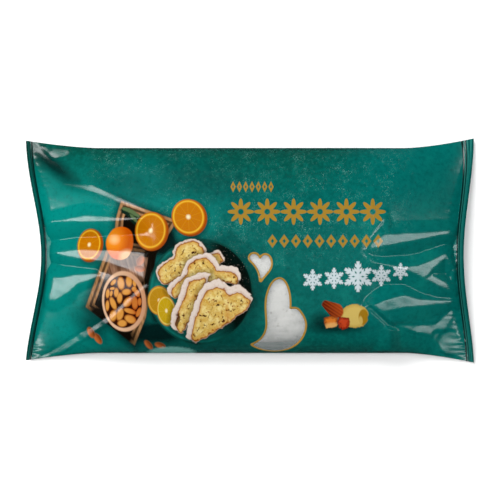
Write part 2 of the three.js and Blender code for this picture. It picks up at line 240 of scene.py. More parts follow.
def ridgeRelief(side, x, y, base):
    # how far the ridge network lifts the upper film above its smooth form
    relief = np.zeros(x.shape)
    for name, end in ends.items():
        here = side == end["side"]
        upper = np.interp(x[here], *np.array(cells[name]["upper"]).T)
        lower = np.interp(x[here], *np.array(cells[name]["lower"]).T)
        inUpper, inLower = (upper - y[here]) / fold["cellEdge"], (y[here] - lower) / fold["cellEdge"]
        between = smooth(inUpper) * smooth(inLower)
        total = np.exp(-fold["cellDepth"] * between / fold["soften"])
        for ridge in ridges[name]:
            gap = ridgeHeight(side[here], x[here], y[here], ridge) - base[here]
            total += np.exp(gap / fold["soften"])
        relief[here] = fold["soften"] * np.log(total)
    for terrace in terraces:
        for (ax, ay, topA), (bx, by, topB) in zip(terrace, terrace[1:]):
            t, distance = toPiece(x, y, (ax, ay), (bx, by))
            weight = 1 - smooth((distance - mix(topA, topB, t)) / fold["terraceRise"])
            here = weight > 0
            share = clamp01((x[here] - ax) / (bx - ax))
            level = smoothTop(side[here], x[here], mix(ay, by, share))
            relief[here] = mix(relief[here], level - base[here], weight[here])
    groove = toPath(x, y, fold["groove"]) / fold["grooveHalf"]
    depth = fold["grooveDepth"]
    for end, length in fold["grooveEnds"]:
        depth = depth * smooth((x - end) / length)
    relief = relief - depth * np.exp(-(groove**2))
    for height, length, heading, start in ripples:
        across = x * math.cos(heading) + y * math.sin(heading)
        relief = relief + height * np.sin(2 * math.pi * across / length + start)
    return relief


def pucker(side, x, y, reach):
    # small gathers where the film runs into the crimp
    inward = np.maximum(0, reach - np.abs(x))
    near = smooth(inward / gatherForm["rise"]) * np.exp(-inward / gatherForm["fade"])
    height = np.zeros(x.shape)
    for name, end in ends.items():
        for middle, half, rise in gathers[name]:
            height += (side == end["side"]) * rise * np.exp(-(((y - middle) / half) ** 2))
    wander = gatherForm["wander"] * np.sin(y * gatherForm["wanderWaves"] + side)
    return height * near * np.sin(y * gatherForm["waves"] + wander)


def skin(along, angle, layer):
    # along runs from -1 to 1 between the seal roots and on to 2 over the crimps; angle runs
    # from -pi/2 to pi/2 across; layer is 1 for the upper film and -1 for the lower one
    side = np.where(along < 0, -1, 1)
    v = power(np.sin(angle), pack["sidePower"])
    reach, plan, rise, rootHeight = sealRoot(side, v)
    body = np.minimum(1, np.abs(along))
    pulled = pack["length"] / 2 - plan - reach
    x = side * (body * (pack["length"] / 2 - plan) - pulled * body ** seal["pullPower"])
    y = v * halfWidth(x)
    lift = liftOf(side, reach, x)
    crossing = np.abs(np.cos(angle))
    middle = mix(rootHeight, pack["equator"], lift)
    if layer > 0:
        base = smoothTop(side, x, y)
        tent = smooth((np.abs(x) - endValue(side, "bodyStart")) / fold["bodyBlend"])
        fade = smooth((reach - np.abs(x)) / fold["sealBlend"]) * smooth(crossing * fold["sideBlend"])
        z = base + ridgeRelief(side, x, y, base) * (fade * tent) + pucker(side, x, y, reach)
    else:
        below = pack["equator"] * pack["belly"] * lift * crossing ** pack["underPower"]
        z = np.maximum(0.0, middle - below) + pucker(side, x, y, reach)
    crimp = np.maximum(0, np.abs(along) - 1)
    tilt = np.arctan2(rise, plan)
    rib = seal["ribDepth"] * np.sin(2 * math.pi * seal["ribs"] * crimp)
    off = layer * seal["thick"] / 2 * smooth(crimp * seal["spreadRate"]) + rib
    x = x + side * (plan * crimp - off * np.sin(tilt))
    z = z + rise * crimp + off * np.cos(tilt)
    return x, np.where(crimp > 0, v * halfWidth(x), y), z


# even steps along the film across the body, and the film's length up to each of them
filmAngles = np.linspace(-math.pi / 2, math.pi / 2, 4001)
filmY = power(np.sin(filmAngles), pack["sidePower"]) * pack["bodyWidth"] / 2
filmZ = (pack["height"] - pack["equator"]) * np.abs(np.cos(filmAngles)) ** pack["topPower"]
filmArc = np.concatenate([[0], np.cumsum(np.hypot(np.diff(filmY), np.diff(filmZ)))])


def evenAngles(count):
    return np.interp(np.linspace(0, filmArc[-1], count), filmArc, filmAngles)


# window outlines, in plan: a start, then curves of two handles and an end
windows = {
    "windowSmall": [(6.2, -6.8),
                    (6.9, -0.8), (12.9, -1.8), (12.9, -7.9), (12.9, -12.4), (9, -14.4), (6.6, -18.4),
                    (6.4, -13.6), (4.4, -9.4), (0.5, -6), (-2.4, -2.8), (5, 1.2), (6.2, -6.8)],
    "windowLarge": [(24.2, -36.8),
                    (26, -35.6), (28.8, -35.4), (30.4, -37.6), (34.2, -42.4), (34.8, -46.2), (33.2, -50.6),
                    (30.6, -59), (21.6, -63), (12.4, -62), (8, -61.6), (4.4, -60.2), (1.4, -58.2),
                    (6.6, -56.6), (10, -52.8), (10.7, -46.8), (10.9, -39.6), (8.9, -32.6), (11.6, -25.2),
                    (12.8, -21.4), (15, -17.8), (18.2, -17.6), (22, -17.6), (25.2, -26.2), (24.2, -36.8)],
}


def outlineOnFilm(points, steps=14):
    # the outline as points of x and length along the film
    outline = []
    for i in range(0, len(points) - 1, 3):
        a, b, c, d = (np.array(p) for p in points[i:i + 4])
        for t in np.arange(steps) / steps:
            s = 1 - t
            outline.append(a * s**3 + 3 * b * t * s**2 + 3 * c * t * t * s + d * t**3)
    outline = np.array(outline)
    outline[:, 1] = np.interp(outline[:, 1], filmY, filmArc)
    return outline


def toOutline(points, outline):
    # signed distance, negative inside, and the nearest point of a closed outline
    distance = np.full(len(points), 1e9)
    nearest = np.zeros((len(points), 2))
    inside = np.zeros(len(points), bool)
    for start, stop in zip(outline, np.roll(outline, -1, axis=0)):
        run = stop - start
        t = clamp01((points - start) @ run / (run @ run))
        foot = start + t[:, None] * run
        away = np.hypot(*(points - foot).T)
        closer = away < distance
        distance[closer] = away[closer]
        nearest[closer] = foot[closer]
        crosses = (start[1] > points[:, 1]) != (stop[1] > points[:, 1])
        if run[1] != 0:
            inside ^= crosses & (points[:, 0] < start[0] + (points[:, 1] - start[1]) * run[0] / run[1])
    return np.where(inside, -distance, distance), nearest


# film
film = {
    "thick": 0.09,
    "crimpColumns": 24,
    "frontRows": 170,
    "backRows": 90,
    "backColumns": 110,
    # columns stand close over the tents and the windows, and wide over the plain body
    "frontColumns": [(-1, -0.43, 84), (-0.43, -0.03, 22), (-0.03, 0.28, 46), (0.28, 0.48, 12),
                     (0.48, 1, 80)],
    "windowMargin": 6,
    "columnSpan": 135,  # millimetres for each step along, near the windows
    "farOff": 50.0,  # the window distance that stands for any larger one
}


def makeGrid(name, columns, rows):
    # a grid primitive, with the column and row of each of its vertices
    bpy.ops.mesh.primitive_grid_add(x_subdivisions=columns - 1, y_subdivisions=rows - 1, size=2)
    sheet = bpy.context.object
    sheet.name = name
    sheet.data.name = name
    bpy.ops.object.shade_smooth()
    corners = readPoints(sheet)
    column = np.rint((corners[:, 0] + 1) / 2 * (columns - 1)).astype(int)
    row = np.rint((corners[:, 1] + 1) / 2 * (rows - 1)).astype(int)
    return sheet, column, row


def readPoints(piece):
    flat = np.empty(len(piece.data.vertices) * 3)
    piece.data.vertices.foreach_get("co", flat)
    return flat.reshape(-1, 3)


def placePoints(piece, x, y, z):
    piece.data.vertices.foreach_set("co", (np.stack([x, y, z], axis=1) * mm).ravel())
    piece.data.update()


def thicken(piece, thick):
    solidify = piece.modifiers.new("thickness", "SOLIDIFY")
    solidify.thickness = thick * mm
    solidify.offset = -1
    bpy.context.view_layer.objects.active = piece
    bpy.ops.object.modifier_apply(modifier=solidify.name)


def splitOff(piece, name, chosen):
    # move the chosen faces to a piece of their own
    bpy.ops.object.select_all(action="DESELECT")
    piece.select_set(True)
    bpy.context.view_layer.objects.active = piece
    piece.data.vertices.foreach_set("select", np.zeros(len(piece.data.vertices), bool))
    piece.data.edges.foreach_set("select", np.zeros(len(piece.data.edges), bool))
    piece.data.polygons.foreach_set("select", chosen)
    bpy.ops.object.mode_set(mode="EDIT")
    bpy.ops.mesh.separate(type="SELECTED")
    bpy.ops.object.mode_set(mode="OBJECT")
    part = next(o for o in bpy.context.selected_objects if o != piece)
    part.name = name
    part.data.name = name
    return part


def markCrimp(piece, along, angle):
    # millimetres inwards of the crimp's root below zero, and the share of the crimp above it
    side = np.where(along < 0, -1, 1)
    reach = sealRoot(side, power(np.sin(angle), pack["sidePower"]))[0]
    inward = reach - np.abs(skin(along, angle, 1)[0])
    marks = piece.data.attributes.new("crimp", "FLOAT", "POINT")
    crimp = np.abs(along) - 1
    marks.data.foreach_set("value", np.where(crimp > 0, crimp, -np.maximum(0, inward)))


crimpSteps = np.linspace(1, 2, film["crimpColumns"] + 1)[1:]
bodyColumns = [np.linspace(*run, endpoint=run[1] == 1) for run in film["frontColumns"]]
frontAlong = np.concatenate([-crimpSteps[::-1], *bodyColumns, crimpSteps])
frontAngles = evenAngles(film["frontRows"])

filmFront, column, row = makeGrid("filmFront", len(frontAlong), film["frontRows"])
along = frontAlong[column]
angle = frontAngles[row]
bodyX = skin(along, angle, 1)[0]
onFilm = np.stack([bodyX, np.interp(angle, filmAngles, filmArc)], axis=1)
faceCorners = np.empty(len(filmFront.data.polygons) * 4, int)
filmFront.data.polygons.foreach_get("vertices", faceCorners)
faceCorners = faceCorners.reshape(-1, 4)
windowDistance = np.full(len(along), film["farOff"])
facesInside = {}
for name, points in windows.items():
    outline = outlineOnFilm(points)
    low, high = outline.min(axis=0) - film["windowMargin"], outline.max(axis=0) + film["windowMargin"]
    nearby = np.all((onFilm > low) & (onFilm < high), axis=1)
    distance = np.full(len(along), film["farOff"])
    nearest = onFilm.copy()
    distance[nearby], nearest[nearby] = toOutline(onFilm[nearby], outline)
    inside = distance[faceCorners].mean(axis=1) < 0
    rim = np.intersect1d(faceCorners[inside], faceCorners[~inside])
    onFilm[rim] = nearest[rim]
    distance[rim] = 0
    windowDistance = np.minimum(windowDistance, distance)
    facesInside[name] = inside
    angle[rim] = np.interp(onFilm[rim, 1], filmArc, filmAngles)
    along[rim] = onFilm[rim, 0] / (pack["length"] / 2 - endValue(1, "planMid"))
    for _ in range(4):  # settle the rim's columns so that their x is the outline's
        along[rim] += (onFilm[rim, 0] - skin(along[rim], angle[rim], 1)[0]) / film["columnSpan"]
placePoints(filmFront, *skin(along, angle, 1))
marks = filmFront.data.attributes.new("windowDistance", "FLOAT", "POINT")
marks.data.foreach_set("value", windowDistance)
markCrimp(filmFront, along, angle)
# the second window's faces are found again after the first is gone
bothInside = facesInside["windowSmall"].astype(int) + 2 * facesInside["windowLarge"]
windowSmall = splitOff(filmFront, "windowSmall", bothInside == 1)
windowLarge = splitOff(filmFront, "windowLarge", bothInside[bothInside != 1] == 2)

backSteps = np.linspace(-1, 1, film["backColumns"])
backSteps = np.sin(backSteps * math.pi / 2) * 0.5 + backSteps * 0.5
backAlong = np.concatenate([-crimpSteps[::-1], backSteps, crimpSteps])
filmBack, column, row = makeGrid("filmBack", len(backAlong), film["backRows"])
backAngles = evenAngles(film["backRows"])
placePoints(filmBack, *skin(backAlong[column], backAngles[row], -1))
markCrimp(filmBack, backAlong[column], backAngles[row])
bpy.ops.object.mode_set(mode="EDIT")
bpy.ops.mesh.select_all(action="SELECT")
bpy.ops.mesh.flip_normals()
bpy.ops.object.mode_set(mode="OBJECT")
for piece in (filmFront, filmBack, windowSmall, windowLarge):
    thicken(piece, film["thick"])
print("film shaped")

# stollen
loaf = {
    "length": 172,
    "width": 114,
    "base": 1.6,  # height of its underside
    "edge": 10.6,  # height of its widest line
    "clearance": 2,  # under the film at the crown
    "endWidth": 0.62,  # share of the width that is left at the ends
    "endRound": 0.42,
    "sidePower": 0.9,
    "topPower": 0.8,
    "underPower": 0.4,
    "fold": {"y": 26, "slant": 0.03, "half": 5, "depth": 2.2},
    "segments": 240,
    "rings": 150,
    "lumps": 0.55,
    "lumpSize": 7,
    "lumpForm": (0.9, 2.1, 4),  # falloff, spacing and number of the noise's steps
    "sink": 0.9,
    "grainSize": 1.6,
}
bpy.ops.mesh.primitive_uv_sphere_add(segments=loaf["segments"], ring_count=loaf["rings"], radius=1)
stollen = bpy.context.object
stollen.name = "sugaredLoaf"
stollen.data.name = "sugaredLoaf"
bpy.ops.object.shade_smooth()
ball = readPoints(stollen)
endward = np.arcsin(np.clip(ball[:, 2], -1, 1))
around = np.arctan2(ball[:, 1], ball[:, 0])
across = math.pi / 2 - np.abs(around)
upper = around >= 0
loafX = loaf["length"] / 2 * power(np.sin(endward), loaf["sidePower"])
endRound = power(np.maximum(0, np.cos(endward)), loaf["endRound"])
loafY = loaf["width"] / 2 * power(np.sin(across), loaf["sidePower"]) * mix(loaf["endWidth"], 1, endRound)
crease = loaf["fold"]
fromFold = (loafY - crease["y"] - crease["slant"] * loafX) / crease["half"]
drop = pack["crownDrop"] * smooth(np.abs(loafX) / pack["crownReach"])
crown = pack["height"] - loaf["clearance"] - crease["depth"] * np.exp(-(fromFold**2)) - drop
inward = np.abs(np.cos(across))
overTop = mix(loaf["edge"], crown, inward ** loaf["topPower"] * endRound)
underside = mix(loaf["edge"], loaf["base"], inward ** loaf["underPower"] * endRound)
loafZ = np.where(upper, overTop, underside)
for i in np.flatnonzero(upper):
    place = Vector((loafX[i], loafY[i], loafZ[i]))
    lumps = noise.fractal(place / loaf["lumpSize"], *loaf["lumpForm"])
    grains = noise.noise(place / loaf["grainSize"])
    loafZ[i] += loaf["lumps"] * (lumps + 0.5 * grains - loaf["sink"])
placePoints(stollen, loafX, loafY, loafZ)
print("loaf shaped")

# node helpers
inkShare = 0.6  # inks are given as they show, and the lights make them this much brighter


def ink(red, green, blue):
    # the linear colour of an ink given as a display colour
    lit = (((c / 255 + 0.055) / 1.055) ** 2.4 if c > 10 else c / 255 / 12.92 for c in (red, green, blue))
    return tuple(inkShare * c for c in lit) + (1,)


def mathStep(operation):
    return lambda wire, *others: wire.math(operation, *others)


class Wire:
    # an output socket that can be added and multiplied, so a pattern reads as its formula
    def __init__(self, tree, socket):
        self.tree = tree
        self.socket = socket

    def math(self, operation, *others, clamp=False):
        node = self.tree.nodes.new("ShaderNodeMath")
        node.operation = operation
        node.use_clamp = clamp
        for socket, value in zip(node.inputs, (self, *others)):
            feed(self.tree, socket, value)
        return Wire(self.tree, node.outputs[0])

    __add__ = mathStep("ADD")
    __sub__ = mathStep("SUBTRACT")
    __mul__ = mathStep("MULTIPLY")
    __truediv__ = mathStep("DIVIDE")
    least = mathStep("MINIMUM")
    most = mathStep("MAXIMUM")
    size = mathStep("ABSOLUTE")

    def __rsub__(self, number):
        return self * -1 + number

    def clamped(self):
        return self.math("ADD", 0.0, clamp=True)

    def above(self, level, gain):
        return ((self - level) * gain).clamped()

    def below(self, level, gain):
        return ((level - self) * gain).clamped()

    def inside(self, softness):
        # 1 where the value is above zero, with a soft edge
        return self.math("MULTIPLY_ADD", 1 / softness, 0.5, clamp=True)

    def under(self, limit, softness):
        return (limit - self).inside(softness)

    def near(self, reach, softness):
        # 1 where the value is close to zero, with a soft edge
        return self.size().under(reach, softness)


def feed(tree, socket, value):
    if isinstance(value, Wire):
        tree.links.new(value.socket, socket)
    elif socket.type == "RGBA":
        socket.default_value = ink(*value)
    else:
        socket.default_value = value


def vectorMath(operation, first, second=(0, 0, 0), third=(0, 0, 0)):
    tree = first.tree
    node = tree.nodes.new("ShaderNodeVectorMath")
    node.operation = operation
    feed(tree, node.inputs[0], first)
    feed(tree, node.inputs[1], second)
    node.inputs[2].default_value = third
    return Wire(tree, node.outputs["Value" if operation in ("LENGTH", "DOT_PRODUCT") else "Vector"])


def splitVector(vector):
    node = vector.tree.nodes.new("ShaderNodeSeparateXYZ")
    feed(vector.tree, node.inputs[0], vector)
    return Wire(vector.tree, node.outputs[0]), Wire(vector.tree, node.outputs[1])


def joinVector(x, y):
    node = x.tree.nodes.new("ShaderNodeCombineXYZ")
    feed(x.tree, node.inputs[0], x)
    feed(x.tree, node.inputs[1], y)
    return Wire(x.tree, node.outputs[0])


def turned(vector, angle):
    node = vector.tree.nodes.new("ShaderNodeVectorRotate")
    node.rotation_type = "Z_AXIS"
    feed(vector.tree, node.inputs["Vector"], vector)
    feed(vector.tree, node.inputs["Angle"], angle)
    return Wire(vector.tree, node.outputs[0])


def blend(under, mask, over):
    node = mask.tree.nodes.new("ShaderNodeMix")
    node.data_type = "RGBA"
    feed(mask.tree, node.inputs["Factor"], mask)
    feed(mask.tree, node.inputs[6], under)
    feed(mask.tree, node.inputs[7], over)
    return Wire(mask.tree, node.outputs[2])


def noiseField(point, size, detail=2.0, roughness=0.5):
    node = point.tree.nodes.new("ShaderNodeTexNoise")
    feed(point.tree, node.inputs["Vector"], point)
    node.inputs["Scale"].default_value = 1 / size
    node.inputs["Detail"].default_value = detail
    node.inputs["Roughness"].default_value = roughness
    return Wire(point.tree, node.outputs[0])


def makeGroup(name, inputs, outputs):
    # a shader node group: inputs and outputs are socket names with their kinds
    tree = bpy.data.node_groups.new(name, "ShaderNodeTree")
    for socketName, kind in inputs:
        tree.interface.new_socket(socketName, in_out="INPUT", socket_type="NodeSocket" + kind)
    for socketName, kind in outputs:
        tree.interface.new_socket(socketName, in_out="OUTPUT", socket_type="NodeSocket" + kind)
    source = tree.nodes.new("NodeGroupInput")
    sink = tree.nodes.new("NodeGroupOutput")
    wires = {socketName: Wire(tree, source.outputs[socketName]) for socketName, kind in inputs}
    return tree, wires, {socketName: sink.inputs[socketName] for socketName, kind in outputs}


def useGroup(tree, group, **values):
    # place a group; the keywords are its input names, starting in lower case
    node = tree.nodes.new("ShaderNodeGroup")
    node.node_tree = group
    for key, value in values.items():
        feed(tree, node.inputs[key[0].upper() + key[1:]], value)
    return {output.name: Wire(tree, output) for output in node.outputs}


# print shapes, as node groups on a plan in millimetres
ovalGroup, source, sink = makeGroup(
    "oval",
    [("Point", "Vector"), ("Centre", "Vector"), ("Radii", "Vector"), ("Turn", "Float"), ("Edge", "Float")],
    [("Mask", "Float"), ("Local", "Vector"), ("Radius", "Float")])
# each node is made after its inputs, as a late input keeps a place on the renderer's stack
offset = vectorMath("SUBTRACT", source["Point"], source["Centre"])
local = vectorMath("DIVIDE", turned(offset, source["Turn"] * -1), source["Radii"])
radius = vectorMath("LENGTH", local)
mask = ((1 - radius) / source["Edge"]).math("ADD", 0.5, clamp=True)
for name, wire in (("Mask", mask), ("Local", local), ("Radius", radius)):
    feed(ovalGroup, sink[name], wire)


def oval(point, x, y, width, height, turn=0, edge=0.6):
    # an oval's mask, the place in its own axes and the distance from its middle, 1 at its edge
    shape = useGroup(point.tree, ovalGroup, point=point, centre=(x, y, 0),
                     radii=(width, height, 1), turn=math.radians(turn), edge=edge / min(width, height))
    return shape["Mask"], shape["Local"], shape["Radius"]


def spot(point, *place):
    return oval(point, *place)[0]


def spots(point, places):
    return anyOf([spot(point, *place) for place in places])


def polygon(point, corners, rounding):
    # distance inwards from the edges of a convex outline drawn anticlockwise
    field = None
    for (ax, ay), (bx, by) in zip(corners, corners[1:] + corners[:1]):
        length = math.dist((ax, ay), (bx, by))
        nx, ny = (ay - by) / length, (bx - ax) / length
        edge = vectorMath("DOT_PRODUCT", point, (nx, ny, 0)) - (nx * ax + ny * ay)
        field = edge if field is None else field.math("SMOOTH_MIN", edge, rounding)
    return field


def union(point, pieces, rounding, join):
    # the joined outline of convex pieces
    field = None
    for corners in pieces:
        piece = polygon(point, corners, rounding)
        field = piece if field is None else field.math("SMOOTH_MAX", piece, join)
    return field


def anyOf(masks):
    joined = masks[0]
    for mask in masks[1:]:
        joined = joined.most(mask)
    return joined


# film print: a teal ground with layers of ink over it
teal = {
    # the left ink is lighter as painted light over the left end; the top and bottom inks are darker for
    # painted shade along those edges
    "left": (0, 146, 136), "middle": (2, 99, 92), "right": (0, 112, 106),
    "top": (4, 82, 70), "bottom": (0, 74, 64), "cloud": (12, 130, 118), "deep": (0, 48, 44),
    "crease": (0, 18, 18), "seal": (60, 152, 140), "frost": (140, 214, 202),
    # ovals: x, y, half width, half height, turn and softness, here with the shade's share
    "shades": [(-80, -12, 36, 56, -14, 24, 0.25), (-27, -28, 38, 37, 0, 12, 0.45),
               (-46, 43, 38, 12, -4, 12, 0.3), (-54, 6, 10, 13, 35, 7, 0.96),
               (-57, -51, 27, 9, 4, 9, 0.96), (-97, -47, 14, 9, -40, 12, 0.75),
               (-76, 38, 20, 12, 0, 12, 0.5), (-58, -38, 5, 14, 0, 6, 0.92)],
    "foldShade": (-122.5, 52.4, 18, 4.6, -39, 6),
    # painted highlight: a pale patch on the lower edge below the plate, where the film turns under
    "paintedEdgeHighlight": (-48.5, -64.5, 15, 4.4, 0, 1.2),
    # soft lighter ovals of cloud ink on the ground; the last, over the right tent's cells, is a painted
    # reflection haze
    "hazesAndPaintedSheen": [(2, 25, 18, 9, 15, 9), (32, 8, 9, 13, 0, 9), (-22, 15, 14, 8, 25, 9),
              (52, 42, 15, 8, -20, 9), (20, -6, 13, 10, 10, 9), (114, -6, 15, 17, 0, 9)],
}
gold = {"ink": (168, 130, 44), "rim": (180, 138, 56), "rimWidth": 1.15}

groundGroup, source, sink = makeGroup("tealGround", [("Place", "Vector")], [("Color", "Color")])
point = source["Place"]
x, y = splitVector(point)
clouds = noiseField(point, 34, 3, 0.6)
wisps = noiseField(point, 9, 5, 0.65)
mottle = noiseField(point, 2.6, 4, 0.7)
# painted light: lighter teal over the left end, fading to the middle's; painted shade: darker bands along
# the top and bottom edges, where the film curves away
middle = ((x + 78) / 62 + (clouds - 0.5) * 1.2).clamped()
colour = blend(teal["left"], middle, teal["middle"])
colour = blend(colour, ((x - 40) / 60).clamped(), teal["right"])
paintedTopShade = ((y - 32) / 24 + (clouds - 0.5)).math("MULTIPLY", 0.8, clamp=True)
paintedTopShade = paintedTopShade * ((84 - x) / 40).clamped()
paintedLowShade = ((y * -1 - 46) / 22 + (clouds - 0.5)).math("MULTIPLY", 0.8, clamp=True)
paintedLowShade = paintedLowShade * ((150 - x) / 70).clamped()
colour = blend(colour, paintedLowShade, teal["bottom"])
patches = ((clouds - 0.52) * 5 + (wisps - 0.5) * 2.6).math("MULTIPLY", 0.5, clamp=True)
colour = blend(colour, patches, teal["cloud"])
colour = blend(colour, paintedTopShade, teal["top"])
colour = blend(colour, mottle.above(0.5, 1.7), teal["cloud"])
colour = blend(colour, mottle.below(0.5, 1.5), teal["deep"])
# lighter ovals, the one on the right tent a painted reflection haze
colour = blend(colour, spots(point, teal["hazesAndPaintedSheen"]) * 0.4, teal["cloud"])
frosted = wisps.above(0.44, 5) * ((y + 22) / 26).clamped()
flecks = noiseField(point, 0.55, 1).above(0.65, 9)
threads = (noiseField(point, 4.2, 3, 0.6) - 0.5).near(0.006, 0.012)
overLoaf = ((104 - x.size()) / 14).clamped()
colour = blend(colour, flecks.most(threads * 0.45) * frosted * overLoaf * 0.75, teal["frost"])
feed(groundGroup, sink["Color"], colour)


def shadeLayers(point, colour):
    # soft shade round the still life, darkest behind the tray and under the plate
    shades = [spot(point, *place) * share for *place, share in teal["shades"]]
    colour = blend(colour, anyOf(shades), teal["crease"])
    return blend(colour, spot(point, *teal["foldShade"]) * 0.85, teal["crease"])


# tray: places and sizes of all that is printed are in millimetres, on the plan
tray = {
    # convex parts of the board, drawn anticlockwise
    "parts": [[(-81.9, 30.9), (-82.8, 19), (-87.8, 2), (-58.2, -3.3), (-44.8, 17.9)],
              [(-87.5, 2.9), (-101.9, -35.5), (-71.4, -59.3), (-64.4, -42.1), (-57.3, -0.7)]],
    "rim": 1.8, "gap": 1.5, "innerRim": 1.4, "turn": -14,
    "lit": (-77, -9, 14, 9, -12, 7), "rimShades": [(-86, -47, 19, 8.5, -38, 4), (-58, -16, 9, 28, 4, 4)],
    "rimInk": (176, 130, 84), "woodInk": (124, 82, 56), "woodLight": (204, 156, 124),
    "shadeInk": (14, 8, 2),
}


def trayLayers(point, colour):
    board = union(point, tray["parts"], 0.6, 1.2)
    colour = blend(colour, ((board + 4.5) / 4.5).clamped() * 0.7, teal["crease"])
    alongWood = turned(point, math.radians(tray["turn"]))
    stripes = noiseField(vectorMath("MULTIPLY", alongWood, (1, 0.09, 1)), 1.3, 2)
    planks = blend(tray["woodInk"], stripes.above(0.4, 3), tray["woodLight"])
    wood = blend(tray["shadeInk"], spot(point, *tray["lit"]), planks)
    rims = blend(tray["rimInk"], stripes.above(0.45, 3), tray["woodInk"])
    for place in tray["rimShades"]:
        rims = blend(rims, spot(point, *place), tray["shadeInk"])
    fromRim = board - tray["rim"]
    wood = blend(wood, (tray["gap"] - fromRim + tray["innerRim"]).inside(0.5), rims)
    wood = blend(wood, fromRim.under(tray["gap"], 0.6) * 0.8, tray["shadeInk"])
    wood = blend(wood, (fromRim * -1).inside(0.5), rims)
    return blend(colour, board.inside(0.7), wood)


# fruit
fruit = {
    "orangeHalves": [(-99.3, 2.9, 7.9, 10.3, -12), (-60.9, 11.5, 10.2, 11.9, -8),
                     (-37.7, 20, 10.7, 11.4, 20)],
    "wholeOrange": [(-88.7, 7.6), (-89.5, 4.6), (-88.7, -0.2), (-85.6, -5.1), (-80.3, -6.8), (-75.4, -5.1),
                    (-72.3, 0.2), (-71.7, 6.4), (-73, 11.5), (-76.3, 14), (-80.7, 14.5), (-84.7, 13)],
    "underWhole": (-77, -1, 11, 12, 0, 4), "litSide": (-84.5, 6.5, 6, 6.5, 0, 8),
    "darkSide": (-72, 2, 6, 12, 0, 6),
    "shines": [(-83.8, 6.3, 2.6, 2.4, 0, 3), (-76.5, -4, 4.2, 3.6, 30, 3)],
    "citrusSlices": [((-56, -31.3, 7.1, 9, 0), "slice"), ((-51.6, -37.7, 5.8, 9.4, 6), "lemon")],
    "leaves": [(-74, 22.5, 6.5, 2.6, -28), (-71.6, 18, 5, 1.9, -52)],
    "looseAlmonds": [(-98.6, -51.4, 3.6, 2, -62), (-94.4, -55.1, 3.8, 1.9, -55),
                     (-62.8, -58.9, 3.4, 1.7, -50), (-55.6, -59.3, 3.4, 1.8, -20),
                     (-67.5, -6.8, 3, 2.2, 60), (-67.9, -11.7, 3, 2, -10)],
    "half": {"peel": (192, 108, 4), "pith": (234, 180, 42), "pulp": (196, 116, 0)},
    "slice": {"peel": (196, 132, 20), "pith": (216, 170, 60), "pulp": (184, 134, 12)},
    "lemon": {"peel": (204, 132, 12), "pith": (232, 204, 96), "pulp": (196, 160, 8)},
    "wholeInk": (216, 92, 0), "wholeLight": (244, 150, 30), "peelShade": (160, 70, 0),
    "shine": (250, 206, 150), "core": (252, 232, 180),
    "nut": (190, 104, 50), "nutDark": (120, 58, 20),
    "leaf": (8, 36, 24), "leafLight": (84, 108, 66),
}

citrusGroup, source, sink = makeGroup(
    "citrusFace",
    [("Local", "Vector"), ("Radius", "Float"), ("Peel", "Color"), ("Pith", "Color"), ("Pulp", "Color")],
    [("Color", "Color")])
u, v = splitVector(source["Local"])
fromMembrane = (v.math("ARCTAN2", u) * 5).math("SINE").size() * source["Radius"]
face = blend(source["Pulp"], fromMembrane.under(0.07, 0.12) * 0.22, source["Pith"])
face = blend(face, source["Radius"].under(0.12, 0.12), fruit["core"])
face = blend(face, (source["Radius"] - 0.84).inside(0.08), source["Pith"])
face = blend(face, (source["Radius"] - 0.93).inside(0.06), source["Peel"])
feed(citrusGroup, sink["Color"], face)


def twoToned(point, colour, places, softness, lowerInk, upperInk):
    # ovals whose upper half has an ink of its own
    shapes = [oval(point, *place) for place in places]
    upper = anyOf([mask * splitVector(local)[1].inside(softness) for mask, local, _ in shapes])
    return blend(colour, anyOf([shape[0] for shape in shapes]), blend(lowerInk, upper, upperInk))


def citrusFace(point, colour, kind, *place):
    mask, local, radius = oval(point, *place)
    face = useGroup(point.tree, citrusGroup, local=local, radius=radius, **fruit[kind])["Color"]
    return blend(colour, mask, face)


def fruitLayers(point, bent, colour):
    colour = twoToned(bent, colour, fruit["leaves"], 0.3, fruit["leaf"], fruit["leafLight"])
    colour = blend(colour, spot(point, *fruit["underWhole"]) * 0.7, tray["shadeInk"])
    whole = blend(fruit["wholeInk"], spot(point, *fruit["litSide"]), fruit["wholeLight"])
    whole = blend(whole, spot(point, *fruit["darkSide"]) * 0.5, fruit["peelShade"])
    whole = blend(whole, spots(point, fruit["shines"]) * 0.7, fruit["shine"])
    colour = blend(colour, polygon(point, fruit["wholeOrange"], 2.5).inside(0.6), whole)
    for x, y, width, height, turn in fruit["orangeHalves"]:
        shade = spot(point, x + 1.5, y - 1.5, width, height, turn, 4)
        colour = blend(colour, shade * 0.7, tray["shadeInk"])
        colour = blend(colour, spot(point, x + 0.5, y - 0.4, width, height, turn), fruit["peelShade"])
        colour = citrusFace(point, colour, "half", x - 0.3, y + 0.2, width - 0.5, height - 0.4, turn)
    return colour


